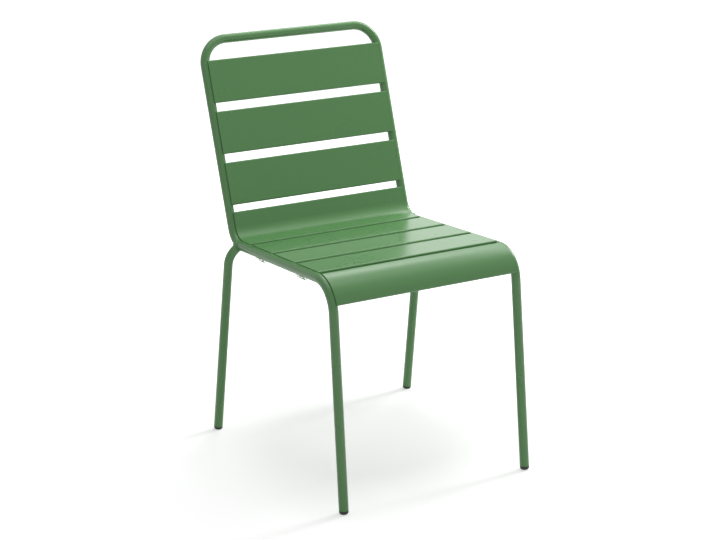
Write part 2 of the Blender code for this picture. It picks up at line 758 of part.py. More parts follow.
clear_scene()
chair_parts = new_collection("metal_chair")
cutters = new_collection("cutters")
chair = bpy.data.objects.new("chair", None)
chair_parts.objects.link(chair)

make_main_frame()
cope = swept_mesh("rail_cope", main_frame_path(), TUBE_RADIUS + FIT_GAP, TUBE_BEVEL_RESOLUTION)
rail_cope = add_cutter("rail_cope", cope)
make_rear_leg("rear_leg_left", -1, rail_cope)
make_rear_leg("rear_leg_right", 1, rail_cope)
make_back_slats()
make_seat_slats()
make_curved_slat()
make_front_slat()
make_foot_caps()
make_stacking_pads()
make_leg_welds()
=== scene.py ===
# Looks for the stackable metal side chair: fine tubes, folded slats, welds, foot caps and stacking pads.
# Metres, +Z up. The chair faces -Y, and right means +X.
import math
import re

import bmesh
import bpy
from mathutils import Matrix, Vector


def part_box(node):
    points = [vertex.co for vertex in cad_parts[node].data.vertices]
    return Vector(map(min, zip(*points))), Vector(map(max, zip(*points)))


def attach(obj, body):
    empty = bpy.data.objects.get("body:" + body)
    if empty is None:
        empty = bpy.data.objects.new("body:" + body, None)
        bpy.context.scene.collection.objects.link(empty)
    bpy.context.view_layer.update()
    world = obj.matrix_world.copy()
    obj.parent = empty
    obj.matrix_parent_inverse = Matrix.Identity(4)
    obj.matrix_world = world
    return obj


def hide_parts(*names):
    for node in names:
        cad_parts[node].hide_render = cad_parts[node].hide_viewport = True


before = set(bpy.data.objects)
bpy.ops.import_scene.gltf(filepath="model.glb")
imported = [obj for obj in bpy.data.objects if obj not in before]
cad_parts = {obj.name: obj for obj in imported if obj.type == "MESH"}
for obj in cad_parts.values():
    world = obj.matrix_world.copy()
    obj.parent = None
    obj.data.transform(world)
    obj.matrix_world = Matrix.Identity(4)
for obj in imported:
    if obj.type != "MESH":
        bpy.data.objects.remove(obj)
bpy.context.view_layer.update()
xAxis = Vector((1, 0, 0))
print("frame loaded, with", len(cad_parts), "nodes")


# Operators, used as by hand

tolerance = {
    "double": 0.00002,           # points this close become one
    "mirrorSeam": 0.00005,
    "cut": 0.000001,
    "place": 0.0002,             # how far an edge or face may lie from where it is looked for
    "angle": 0.001,              # in radians
    "ledge": 0.0001,             # rise of a step that is all but square
}


def startClean():
    if bpy.context.object and bpy.context.object.mode != "OBJECT":
        bpy.ops.object.mode_set(mode="OBJECT")
    bpy.ops.object.select_all(action="DESELECT")


def makeActive(piece):
    startClean()
    piece.select_set(True)
    bpy.context.view_layer.objects.active = piece


def editMesh(piece):
    makeActive(piece)
    bpy.ops.object.mode_set(mode="EDIT")


def objectMode():
    bpy.ops.object.mode_set(mode="OBJECT")


def applyPlace(piece):
    makeActive(piece)
    bpy.ops.object.transform_apply(location=True, rotation=True, scale=True)


def placeAt(piece, matrix):
    piece.matrix_world = matrix
    applyPlace(piece)


def standAlong(piece, place, along):
    # From upright at the origin
    placeAt(piece, Matrix.Translation(place) @ along.to_track_quat("Z", "X").to_matrix().to_4x4())


def chosen(kind, test):
    # In edit mode: selects the vertices, edges or faces whose middle passes the test
    bpy.ops.mesh.select_mode(type=kind)
    bpy.ops.mesh.select_all(action="DESELECT")
    data = bpy.context.object.data
    shape = bmesh.from_edit_mesh(data)
    if kind == "VERT":
        for vert in shape.verts:
            vert.select_set(test(vert.co))
    else:
        for item in (shape.edges if kind == "EDGE" else shape.faces):
            middle = sum((vert.co for vert in item.verts), Vector()) / len(item.verts)
            item.select_set(test(middle))
    shape.select_flush_mode()
    bmesh.update_edit_mesh(data)


def extrude(vector):
    bpy.ops.mesh.extrude_region_move(TRANSFORM_OT_translate={"value": vector})


def spin(centre, axis, angle, steps):
    # A positive angle turns by the right hand about the axis
    bpy.ops.mesh.spin(steps=steps, angle=-angle, center=centre, axis=axis)


def growTo(vector, size):
    # One more ring, this much wider
    extrude(vector)
    bpy.ops.transform.resize(value=(size, size, 1))


def faceOutwards():
    bpy.ops.mesh.select_all(action="SELECT")
    bpy.ops.mesh.remove_doubles(threshold=tolerance["double"])
    bpy.ops.mesh.normals_make_consistent(inside=False)


def flipFaces(piece):
    editMesh(piece)
    bpy.ops.mesh.select_all(action="SELECT")
    bpy.ops.mesh.flip_normals()
    objectMode()


def addModifier(piece, kind, settings):
    change = piece.modifiers.new(kind.lower(), kind)
    for key, value in settings.items():
        setattr(change, key, value)
    makeActive(piece)
    bpy.ops.object.modifier_apply(modifier=change.name)


def roundEdges(piece, width, segments=2, angle=40):
    addModifier(piece, "BEVEL", {
        "width": width, "segments": segments, "limit_method": "ANGLE",
        "angle_limit": math.radians(angle), "miter_outer": "MITER_ARC",
    })


def shadeSmooth(piece, angle=40):
    makeActive(piece)
    bpy.ops.object.shade_smooth_by_angle(angle=math.radians(angle))
    addModifier(piece, "WEIGHTED_NORMAL", {"keep_sharp": True})


def copyOf(piece, name):
    twin = piece.copy()
    twin.data = piece.data.copy()
    twin.name = name
    bpy.context.scene.collection.objects.link(twin)
    return twin


def joinInto(piece, others):
    startClean()
    for other in others:
        other.select_set(True)
    piece.select_set(True)
    bpy.context.view_layer.objects.active = piece
    bpy.ops.object.join()


def cutWith(piece, cutter, operation="DIFFERENCE"):
    addModifier(piece, "BOOLEAN", {"operation": operation, "solver": "EXACT", "object": cutter})


# Frame's centre line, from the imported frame's box and the chair's own sizes

tube = {
    "radius": 0.0095,
    "wall": 0.0012,
    "sides": 48,
    "bendSteps": 24,
    "endRounding": 0.00035,
    "endAngle": 60,              # edges sharper than this are rounded, in degrees
    "railHalf": 0.2052,          # side rail from the chair's middle
    "frontLegSplay": 0.0039,     # the foot outside the rail
    "frontLegRake": 0.0387,      # and ahead of the front corner
    "seatFrontHeight": 0.4537,
    "seatRearHeight": 0.4247,
    "seatRun": 0.428,
    "backRise": 0.4046,
    "backRun": 0.1341,
    "frontBend": 0.058,          # bends are radii of the centre line
    "seatBackBend": 0.0437,
    "topBend": 0.054,
    "padHole": 0.0023,           # radius, drilled for the stacking pads
}


def bendAt(before, corner, after, radius):
    # The arc that rounds a corner
    arriving = (corner - before).normalized()
    leaving = (after - corner).normalized()
    turn = arriving.angle(leaving)
    setback = radius * math.tan(turn / 2)
    axis = arriving.cross(leaving).normalized()
    start = corner - arriving * setback
    return {
        "start": start,
        "end": corner + leaving * setback,
        "centre": start + axis.cross(arriving) * radius,
        "axis": axis,
        "turn": turn,
        "arriving": arriving,
        "leaving": leaving,
        "radius": radius,
    }


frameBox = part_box("main_frame")
topCorner = Vector((tube["railHalf"], frameBox[1].y - tube["radius"], frameBox[1].z - tube["radius"]))
rearCorner = topCorner - Vector((0, tube["backRun"], tube["backRise"]))
frontCorner = rearCorner - Vector((0, tube["seatRun"], tube["seatRearHeight"] - tube["seatFrontHeight"]))
frontGround = frontCorner - Vector((0, tube["frontLegRake"], tube["seatFrontHeight"]))  # before its splay
topMiddle = Vector((0, topCorner.y, topCorner.z))
frameCorners = [frontGround, frontCorner, rearCorner, topCorner, topMiddle]
frameBends = [tube["frontBend"], tube["seatBackBend"], tube["topBend"]]
frontBend = bendAt(frontGround, frontCorner, rearCorner, tube["frontBend"])
rearBend = bendAt(frontCorner, rearCorner, topCorner, tube["seatBackBend"])


def awayFromTube(along):
    # The side of the frame where the slats lie
    return xAxis.cross(along)


def ringAt(name, place, along, radius, sides):
    startClean()
    turn = along.to_track_quat("Z", "X").to_euler()
    bpy.ops.mesh.primitive_circle_add(vertices=sides, radius=radius, location=place, rotation=turn)
    ring = bpy.context.object
    ring.name = name
    applyPlace(ring)
    bpy.ops.object.mode_set(mode="EDIT")
    bpy.ops.mesh.select_all(action="SELECT")
    return ring


def sweepRing(place, corners, radii):
    # Takes the selected ring along straights and round each corner
    for before, corner, after, radius in zip(corners, corners[1:], corners[2:], radii):
        turn = bendAt(before, corner, after, radius)
        extrude(turn["start"] - place)
        spin(turn["centre"], turn["axis"], turn["turn"], tube["bendSteps"])
        place = turn["end"]
    extrude(corners[-1] - place)


def giveWall(piece, thickness):
    addModifier(piece, "SOLIDIFY", {"thickness": thickness, "offset": -1, "use_even_offset": True})


# Foot caps: their heads set how high the tubes end

cap = {
    "head": 0.007,
    "seam": 0.0003,              # between the head and the tube's end
    "tipRounding": 0.0055,
    "rimRounding": 0.0004,
    "groundFlat": 0.0006,        # worn off the tip, where it stands
    "shankRadius": 0.0064,
    "shankLength": 0.016,
    "finRadius": 0.0079,
    "finHeight": 0.0012,
    "tipSteps": 10,
    "rimSteps": 3,
    "sides": 64,
}


def frontLegPlace(share):
    # From the foot, at 0, to the foot of the front bend, at 1
    foot = frontGround + xAxis * tube["frontLegSplay"]
    return foot.lerp(frontBend["start"], share)


def sweepFrame(name, start, radius):
    # Its right half, from the foot to the middle of the top rail, and the mirror image
    piece = ringAt(name, start, frontBend["arriving"], radius, tube["sides"])
    sweepRing(start, frameCorners, frameBends)
    objectMode()
    addModifier(piece, "MIRROR", {"merge_threshold": tolerance["mirrorSeam"]})
    editMesh(piece)
    faceOutwards()
    objectMode()
    return piece


def makeMainFrame():
    share = (cap["head"] + cap["seam"]) / frontBend["start"].z
    piece = sweepFrame("mainFrame", frontLegPlace(share), tube["radius"])
    giveWall(piece, tube["wall"])
    return piece


def makeFrameSolid(name, clearance):
    # The frame without its bore, and thicker by the clearance: its neighbours' ends are coped with it
    piece = sweepFrame(name, frontGround, tube["radius"] + clearance)
    editMesh(piece)
    bpy.ops.mesh.select_all(action="DESELECT")
    bpy.ops.mesh.select_mode(type="EDGE")
    bpy.ops.mesh.select_non_manifold()
    bpy.ops.mesh.edge_face_add()
    faceOutwards()
    objectMode()
    return piece


mainFrame = makeMainFrame()
print("main frame bent")


# Rear legs, coped to the frame, and the weld round each joint

rearLeg = {
    "splay": 0.031,              # the foot outside the rail
    "footBehind": 0.0542,        # and behind the rear corner
    "cornerAhead": 0.019,        # the leg's own corner, from the rear corner
    "cornerDrop": 0.0197,
    "cornerOut": 0.0242,
    "bend": 0.042,
    "intoBend": 0.0123,          # where it meets the frame, past the start of the rear bend
}
legFoot = Vector((tube["railHalf"] + rearLeg["splay"], rearCorner.y + rearLeg["footBehind"], 0))
legCorner = rearCorner + Vector((rearLeg["cornerOut"], -rearLeg["cornerAhead"], -rearLeg["cornerDrop"]))
jointTurn = Matrix.Rotation(rearLeg["intoBend"] / rearBend["radius"], 4, rearBend["axis"])
legJoint = rearBend["centre"] + jointTurn @ (rearBend["start"] - rearBend["centre"])


def makeRearLeg():
    # The right one. The left one is its mirror image.
    along = (legCorner - legFoot).normalized()
    start = legFoot + along * (cap["head"] + cap["seam"])
    piece = ringAt("rearLegRight", start, along, tube["radius"], tube["sides"])
    sweepRing(start, [legFoot, legCorner, legJoint], [rearLeg["bend"]])
    faceOutwards()
    objectMode()
    giveWall(piece, tube["wall"])
    frameSolid = makeFrameSolid("frameSolid", 0)
    cutWith(piece, frameSolid)
    bpy.data.objects.remove(frameSolid)
    return piece


def mirrorCopy(piece, name):
    twin = copyOf(piece, name)
    placeAt(twin, Matrix.Scale(-1, 4, xAxis))
    flipFaces(twin)
    return twin


rearLegRight = makeRearLeg()
rearLegLeft = mirrorCopy(rearLegRight, "rearLegLeft")
print("rear legs coped")

legWeld = {
    "radius": 0.0015,
    "outward": 0.0006,           # its middle lies this far out from the corner between the tubes
    "points": 150,
    "ripples": 30,
    "rippleDepth": 0.05,         # of its radius
    "roundness": 4,
    "smoothAngle": 60,
    "cornerTolerance": 0.0002,
}


def lineThrough(before, corner, after, radius):
    # Points on a line with a rounded corner
    turn = bendAt(before, corner, after, radius)
    arm = turn["start"] - turn["centre"]
    points = [before]
    for step in range(tube["bendSteps"] + 1):
        angle = turn["turn"] * step / tube["bendSteps"]
        points.append(turn["centre"] + Matrix.Rotation(angle, 3, turn["axis"]) @ arm)
    return points + [after]


def nearestOn(points, place):
    # Point of the line that is nearest to the place
    best = None
    for first, second in zip(points, points[1:]):
        along = second - first
        share = min(1, max(0, (place - first).dot(along) / along.length_squared))
        spot = first + along * share
        if best is None or (place - spot).length < (place - best).length:
            best = spot
    return best


def smoothLoop(points, count):
    # The same closed loop with evenly spaced points
    lengths = [0.0]
    for first, second in zip(points, points[1:] + points[:1]):
        lengths.append(lengths[-1] + (second - first).length)
    loop = points + points[:1]
    spaced = []
    index = 0
    for step in range(count):
        goal = lengths[-1] * step / count
        while lengths[index + 1] < goal:
            index += 1
        share = (goal - lengths[index]) / (lengths[index + 1] - lengths[index])
        spaced.append(loop[index].lerp(loop[index + 1], share))
    return spaced


def weldPoints(railPath, legPath):
    # The corner between the tubes, in order round the right leg's coped end
    rim = []
    for vert in rearLegRight.data.vertices:
        fromRail = (vert.co - nearestOn(railPath, vert.co)).length
        fromLeg = (vert.co - nearestOn(legPath, vert.co)).length
        if max(abs(fromRail - tube["radius"]), abs(fromLeg - tube["radius"])) < legWeld["cornerTolerance"]:
            rim.append(vert.co.copy())
    axis = (legJoint - legCorner).normalized()
    side = axis.orthogonal().normalized()
    other = axis.cross(side)
    rim.sort(key=lambda spot: math.atan2((spot - legJoint).dot(other), (spot - legJoint).dot(side)))
    return smoothLoop(rim, legWeld["points"])


def makeLegWeld():
    # A rippled bead where the right rear leg meets the frame
    railPath = lineThrough(frontCorner, rearCorner, topCorner, tube["seatBackBend"])
    legPath = lineThrough(legFoot, legCorner, legJoint, rearLeg["bend"])
    curve = bpy.data.curves.new("rearLegWeldRight", "CURVE")
    curve.dimensions = "3D"
    curve.bevel_depth = legWeld["radius"]
    curve.bevel_resolution = legWeld["roundness"]
    spline = curve.splines.new("POLY")
    spline.points.add(legWeld["points"] - 1)
    spline.use_cyclic_u = True
    for index, spot in enumerate(weldPoints(railPath, legPath)):
        fromRail = (spot - nearestOn(railPath, spot)).normalized()
        fromLeg = (spot - nearestOn(legPath, spot)).normalized()
        spot = spot + (fromRail + fromLeg).normalized() * legWeld["outward"]
        wave = math.sin(2 * math.pi * legWeld["ripples"] * index / legWeld["points"])
        spline.points[index].co = (*spot, 1)
        spline.points[index].radius = 1 + legWeld["rippleDepth"] * wave
    piece = bpy.data.objects.new("rearLegWeldRight", curve)
    bpy.context.scene.collection.objects.link(piece)
    makeActive(piece)
    bpy.ops.object.convert(target="MESH")
    editMesh(piece)
    faceOutwards()
    objectMode()
    shadeSmooth(piece, legWeld["smoothAngle"])
    return piece


rearLegWeldRight = makeLegWeld()
rearLegWeldLeft = mirrorCopy(rearLegWeldRight, "rearLegWeldLeft")
print("rear legs welded")


# Slats: each starts as a line across the chair, follows the tube, and has its long edges folded over

slat = {
    "sheet": 0.0024,             # its ends rest on the tube
    "lift": 0.0113,              # from the tube's centre line to the sheet's outer face
    "halfLength": 0.2022,
    "copeGap": 0.00005,          # between the tube and the folds, which are cut to fit over it
    "foldRadius": 0.003,
    "flangeDepth": 0.008,
    "foldSteps": 8,
    "bendSteps": 40,
    "edgeRounding": 0.0003,
    "backGap": 0.018,            # between flat back slats
    "lowestBackGap": 0.0142,     # above the curved slat
    "handGrip": 0.0338,          # below the top rail
    "flatCount": 3,              # in the seat, and as many in the back
    "seatGap": 0.0124,           # between slats of the seat
    "firstSeatSlat": 0.0025,     # behind the end of the front bend
    "curvedUp": 0.0651,          # from the rear corner up the back
    "curvedForward": 0.065,      # and forwards on the rail
    "frontStop": 0.0128,         # left bare at the foot of the front bend
}

slatBead = {
    "radius": 0.0015,
    "length": 0.014,
    "sink": 0.0005,              # into the slat
    "spread": 0.25,              # of the slat's width, either side of its middle
    "steps": 21,
    "ripple": 0.07,              # of its radius
    "endTaper": 0.4,             # its ends' width, of the full one
    "taperRate": 4,              # how fast it widens from there
    "sides": 14,
}


def makeBead():
    # Upright at the origin, ring on ring, with the ripples of a short weld
    piece = ringAt("slatBead", Vector((0, 0, -slatBead["length"] / 2)), Vector((0, 0, 1)),
                   slatBead["radius"] * slatBead["endTaper"], slatBead["sides"])
    bpy.ops.mesh.edge_face_add()
    size = slatBead["endTaper"]
    for step in range(1, slatBead["steps"] + 1):
        share = step / slatBead["steps"]
        ends = min(1, slatBead["endTaper"] + slatBead["taperRate"] * min(share, 1 - share))
        fresh = ends * (1 + slatBead["ripple"] * (-1) ** step)
        growTo((0, 0, slatBead["length"] / slatBead["steps"]), fresh / size)
        size = fresh
    faceOutwards()
    objectMode()
    return piece


bead = makeBead()
beadPlaces = (0.5 - slatBead["spread"], 0.5 + slatBead["spread"])
slatCope = makeFrameSolid("slatCope", slat["copeGap"])


def onMiddle(point):
    return Vector((0, point.y, point.z))


def lineAcross(name, place):
    startClean()
    bpy.ops.mesh.primitive_plane_add(size=2 * slat["halfLength"])
    piece = bpy.context.object
    piece.name = name
    bpy.ops.object.mode_set(mode="EDIT")
    chosen("VERT", lambda spot: spot.y > 0)
    bpy.ops.mesh.delete(type="VERT")
    bpy.ops.mesh.select_all(action="SELECT")
    bpy.ops.transform.translate(value=place + Vector((0, slat["halfLength"], 0)))
    return piece


def addBeads(piece, spots):
    lift = slat["lift"] - slat["sheet"] - slatBead["radius"] + slatBead["sink"]
    inboard = math.sqrt((tube["radius"] + slatBead["radius"]) ** 2 - lift ** 2)
    copies = []
    for spot, along in spots:
        for side in (-1, 1):
            place = onMiddle(spot) + awayFromTube(along) * lift
            place.x = side * (tube["railHalf"] - inboard)
            twin = copyOf(bead, "bead")
            standAlong(twin, place, along)
            copies.append(twin)
    joinInto(piece, copies)


def foldSlat(name, place, along, moves, beads):
    # The moves are lengths, straight on, or a bend's centre and angle. A bead's place is a point of
    # the tube's centre line and the tube's direction there.
    piece = lineAcross(name, place)
    end = place
    heading = along
    for move in moves:
        if isinstance(move, float):
            extrude(heading * move)
            end = end + heading * move
        else:
            centre, angle = move
            spin(centre, xAxis, angle, slat["bendSteps"])
            turn = Matrix.Rotation(angle, 3, xAxis)
            end = centre + turn @ (end - centre)
            heading = turn @ heading
    for edge, direction, way in ((place, along, -1), (end, heading, 1)):
        inward = -awayFromTube(direction)
        chosen("EDGE", lambda middle: (middle - edge).length < tolerance["place"])
        spin(edge + inward * slat["foldRadius"], xAxis, -way * math.pi / 2, slat["foldSteps"])
        extrude(inward * (slat["flangeDepth"] - slat["foldRadius"]))
    faceOutwards()
    objectMode()
    first = min(piece.data.polygons, key=lambda face: (face.center - place).length)
    if first.normal.dot(awayFromTube(along)) < 0:
        flipFaces(piece)
    giveWall(piece, slat["sheet"])
    roundEdges(piece, slat["edgeRounding"])
    cutWith(piece, slatCope)
    shadeSmooth(piece)
    addBeads(piece, beads)
    return piece


def flatSlat(name, lowEdge, along, width):
    face = onMiddle(lowEdge) + awayFromTube(along) * slat["lift"] + along * slat["foldRadius"]
    beads = []
    for share in beadPlaces:
        beads.append((lowEdge + along * width * share, along))
    return foldSlat(name, face, along, [width - 2 * slat["foldRadius"]], beads)


def makeFlatSlats(stem, lowEdge, along, width, gap):
    # The first one has the highest number: they count from the top, or from the back
    slats = []
    for index in range(slat["flatCount"]):
        number = slat["flatCount"] - index
        edge = lowEdge + along * index * (width + gap)
        slats.append(flatSlat(stem + str(number), edge, along, width))
    return slats


railAlong = rearBend["arriving"]
backAlong = rearBend["leaving"]
curvedFront = rearCorner - railAlong * slat["curvedForward"]
curvedTop = rearCorner + backAlong * slat["curvedUp"]
seatFront = frontBend["end"] + railAlong * slat["firstSeatSlat"]
backLow = curvedTop + backAlong * slat["lowestBackGap"]
backTop = topCorner - backAlong * (tube["radius"] + slat["handGrip"])
seatWidth = (curvedFront - seatFront).length / slat["flatCount"] - slat["seatGap"]
backWidth = ((backTop - backLow).length + slat["backGap"]) / slat["flatCount"] - slat["backGap"]
seatSlats = makeFlatSlats("seatSlat", seatFront, railAlong, seatWidth, slat["seatGap"])
backSlats = makeFlatSlats("backSlat", backLow, backAlong, backWidth, slat["backGap"])


def makeCurvedSlat():
    face = onMiddle(curvedFront) + awayFromTube(railAlong) * slat["lift"] + railAlong * slat["foldRadius"]
    moves = [
        (rearBend["start"] - curvedFront).length - slat["foldRadius"],
        (onMiddle(rearBend["centre"]), rearBend["turn"]),
        (curvedTop - rearBend["end"]).length - slat["foldRadius"],
    ]
    beads = [
        ((curvedFront + rearBend["start"]) / 2, railAlong),
        ((curvedTop + rearBend["end"]) / 2, backAlong),
    ]
    return foldSlat("curvedSlat", face, railAlong, moves, beads)


def makeFrontSlat():
    # It lies on the front bend alone. Its rear edge leaves one seat gap.
    centre = onMiddle(frontBend["centre"])
    outer = frontBend["radius"] + slat["lift"]
    low = slat["frontStop"] / frontBend["radius"]
    high = frontBend["turn"] - (slat["seatGap"] - slat["firstSeatSlat"]) / outer
    fold = slat["foldRadius"] / outer

    def direction(angle):
        return Matrix.Rotation(-angle, 3, xAxis) @ frontBend["arriving"]

    along = direction(low + fold)
    face = centre + awayFromTube(along) * outer
    beads = []
    for share in beadPlaces:
        there = direction(low + (high - low) * share)
        beads.append((centre + awayFromTube(there) * frontBend["radius"], there))
    return foldSlat("frontSlat", face, along, [(centre, low - high + 2 * fold)], beads)


curvedSlat = makeCurvedSlat()
frontSlat = makeFrontSlat()
bpy.data.objects.remove(bead)
bpy.data.objects.remove(slatCope)
print("slats folded")


# Foot caps


def makeCap(name, foot, along):
    # Modelled upright with the foot at the origin, then stood on the leg's line and ground flat
    startClean()
    height = cap["head"] + cap["groundFlat"]
    bpy.ops.mesh.primitive_cylinder_add(
        vertices=cap["sides"], radius=tube["radius"], depth=height,
        location=(0, 0, height / 2 - cap["groundFlat"]),
    )
    piece = bpy.context.object
    piece.name = name
    applyPlace(piece)
    editMesh(piece)
    tiny = cap["rimRounding"] / 10
    chosen("EDGE", lambda middle: middle.z < tiny - cap["groundFlat"])
    bpy.ops.mesh.bevel(offset=cap["tipRounding"], segments=cap["tipSteps"], affect="EDGES")
    chosen("EDGE", lambda middle: middle.z > cap["head"] - tiny)
    bpy.ops.mesh.bevel(offset=cap["rimRounding"], segments=cap["rimSteps"], affect="EDGES")
    chosen("FACE", lambda middle: middle.z > cap["head"] - tiny)
    bpy.ops.mesh.inset(thickness=tube["radius"] - cap["rimRounding"] - cap["shankRadius"])
    wide = cap["finRadius"] / cap["shankRadius"]
    plain = (cap["shankLength"] - 2 * cap["finHeight"]) / 3
    fin = ((plain, 1), (tolerance["ledge"], wide), (cap["finHeight"], 1 / wide))
    for rise, size in fin * 2 + ((plain, 1),):
        growTo((0, 0, rise), size)
    objectMode()
    standAlong(piece, foot, along)
    editMesh(piece)
    bpy.ops.mesh.select_all(action="SELECT")
    bpy.ops.mesh.bisect(
        plane_co=(0, 0, 0), plane_no=(0, 0, 1), use_fill=True, clear_inner=True, threshold=tolerance["cut"],
    )
    faceOutwards()
    objectMode()
    shadeSmooth(piece)
    return piece


frontFoot = frontLegPlace(0)
capFrontRight = makeCap("footCapFrontRight", frontFoot, frontLegPlace(1) - frontFoot)
capFrontLeft = mirrorCopy(capFrontRight, "footCapFrontLeft")
capRearRight = makeCap("footCapRearRight", legFoot, legCorner - legFoot)
capRearLeft = mirrorCopy(capRearRight, "footCapRearLeft")
print("feet capped")


# Stacking pads: clear saddles, each pinned into a hole under a side rail

pad = {
    "length": 0.025,
    "depth": 0.005,
    "lip": 0.0018,
    "wrap": math.radians(48),    # either side of straight down
    "seat": 0.0002,              # off the tube
    "arcSteps": 32,
    "rounding": 0.0007,
    "roundingSteps": 3,
    "roundingAngle": 50,
    "pinRadius": 0.002,
    "pinReach": 0.0032,          # from the tube's skin inwards
    "pinSides": 32,
    "barbRadius": 0.0026,
    "barbHeight": 0.0012,
    "barbPoint": 0.5,            # the point's width, of the barb's
    "frontBehindCorner": 0.122,
    "rearBehindCorner": 0.303,
}


def makeRod(radius, low, high):
    # Upright on the Z axis
    startClean()
    bpy.ops.mesh.primitive_cylinder_add(
        vertices=pad["pinSides"], radius=radius, depth=high - low, location=(0, 0, (high + low) / 2),
    )
    rod = bpy.context.object
    applyPlace(rod)
    return rod


def makePin():
    low = -tube["radius"] - pad["depth"] / 2
    high = -tube["radius"] + pad["pinReach"]
    pin = makeRod(pad["pinRadius"], low, high)
    editMesh(pin)
    chosen("FACE", lambda middle: middle.z > high - tolerance["place"])
    grow = pad["barbRadius"] / pad["pinRadius"]
    growTo((0, 0, tolerance["ledge"]), grow)
    growTo((0, 0, pad["barbHeight"]), pad["barbPoint"])
    objectMode()
    return pin


def makePad():
    # At the origin, under a tube that runs along Y
    startClean()
    inner = tube["radius"] + pad["seat"]
    sides = round(pad["arcSteps"] * math.pi / pad["wrap"])
    bpy.ops.mesh.primitive_circle_add(vertices=sides, radius=inner, rotation=(math.pi / 2, 0, 0))
    piece = bpy.context.object
    piece.name = "stackingPad"
    applyPlace(piece)
    editMesh(piece)
    chosen("VERT", lambda spot: math.atan2(abs(spot.x), -spot.z) > pad["wrap"] + tolerance["angle"])
    bpy.ops.mesh.delete(type="VERT")
    bpy.ops.mesh.select_all(action="SELECT")
    extrude((0, 0, 0))
    shape = bmesh.from_edit_mesh(piece.data)
    for vert in shape.verts:
        if vert.select:
            share = math.atan2(vert.co.x, -vert.co.z) / pad["wrap"]
            reach = tube["radius"] + pad["lip"] + (pad["depth"] - pad["lip"]) * math.cos(share * math.pi / 2)
            vert.co *= reach / inner
    bmesh.update_edit_mesh(piece.data)
    bpy.ops.mesh.select_all(action="SELECT")
    extrude((0, pad["length"], 0))
    bpy.ops.mesh.select_all(action="SELECT")
    bpy.ops.transform.translate(value=(0, -pad["length"] / 2, 0))
    faceOutwards()
    objectMode()
    roundEdges(piece, pad["rounding"], pad["roundingSteps"], pad["roundingAngle"])
    pin = makePin()
    cutWith(piece, pin, "UNION")
    bpy.data.objects.remove(pin)
    shadeSmooth(piece)
    return piece


def onRail(reach, side):
    # Placement on a side rail's line, with Y along it and Z towards the slats
    turn = Matrix((xAxis, railAlong, awayFromTube(railAlong))).transposed().to_4x4()
    place = frontCorner + railAlong * reach
    place.x *= side
    return Matrix.Translation(place) @ turn


def drillFrame():
    # A hole under each side rail for each pad's pin
    reachIn = 2 * tube["wall"]
    for reach in (pad["frontBehindCorner"], pad["rearBehindCorner"]):
        for side in (1, -1):
            drill = makeRod(tube["padHole"], -tube["radius"] - reachIn, -tube["radius"] + reachIn)
            placeAt(drill, onRail(reach, side))
            cutWith(mainFrame, drill)
            bpy.data.objects.remove(drill)


def makePads():
    first = makePad()
    made = []
    for row, reach in (("Front", pad["frontBehindCorner"]), ("Rear", pad["rearBehindCorner"])):
        for hand, side in (("Right", 1), ("Left", -1)):
            twin = copyOf(first, "stackingPad" + row + hand)
            placeAt(twin, onRail(reach, side))
            made.append(twin)
    bpy.data.objects.remove(first)
    return made


pads = makePads()
drillFrame()
for piece in (mainFrame, rearLegRight, rearLegLeft):
    roundEdges(piece, tube["endRounding"], angle=tube["endAngle"])
    shadeSmooth(piece)
print("pads pinned")


# Camera: a fit to the photograph's own view, in pixels of a 716 x 540 frame

view = {
    "azimuth": -29.2845,         # angles in degrees
    "elevation": 16.8833,
    "roll": -0.6611,
    "distance": 3.5914,          # in metres, from the point it is aimed at
    "focal": 1778.29,            # in pixels
    "centreX": 377.605,          # where that point lies in the frame
    "centreY": 259.221,
    "width": 716,
    "height": 540,
    "sensor": 36,                # in millimetres
    "aimHeight": 0.42,
    "aimBehindFrontFeet": 0.2287,
    "clipStart": 0.01,
}


def makeCamera():
    azimuth = math.radians(view["azimuth"])
    elevation = math.radians(view["elevation"])
    roll = math.radians(view["roll"])
    back = Vector((
        math.sin(azimuth) * math.cos(elevation),
        -math.cos(azimuth) * math.cos(elevation),
        math.sin(elevation),
    ))
    level = Vector((math.cos(azimuth), math.sin(azimuth), 0))
    upright = back.cross(level)
    right = level * math.cos(roll) + upright * math.sin(roll)
    up = upright * math.cos(roll) - level * math.sin(roll)
    aim = Vector((0, frontGround.y + view["aimBehindFrontFeet"], view["aimHeight"]))
    camera = bpy.data.objects.new("camera", bpy.data.cameras.new("camera"))
    bpy.context.scene.collection.objects.link(camera)
    turn = Matrix((right, up, back)).transposed().to_4x4()
    camera.matrix_world = Matrix.Translation(aim + back * view["distance"]) @ turn
    camera.data.sensor_width = view["sensor"]
    camera.data.lens = view["focal"] / view["width"] * view["sensor"]
    camera.data.shift_x = (view["width"] / 2 - view["centreX"]) / view["width"]
    camera.data.shift_y = (view["centreY"] - view["height"] / 2) / view["width"]
    camera.data.clip_start = view["clipStart"]
    bpy.context.scene.camera = camera


makeCamera()
print("camera set")


# Node maths: a wrapped socket, so that an expression adds its Math nodes


class Socket:
    def __init__(self, nodes, output):
        self.nodes = nodes
        self.output = output

    def mathNode(self, operation, first, second):
        return self.nodes.add("ShaderNodeMath", {"operation": operation}, {0: first, 1: second})

    def __add__(self, other):
        return self.mathNode("ADD", self, other)

    def __radd__(self, other):
        return self.mathNode("ADD", other, self)

    def __sub__(self, other):
        return self.mathNode("SUBTRACT", self, other)

    def __rsub__(self, other):
        return self.mathNode("SUBTRACT", other, self)

    def __mul__(self, other):
        return self.mathNode("MULTIPLY", self, other)

    def __rmul__(self, other):
        return self.mathNode("MULTIPLY", other, self)


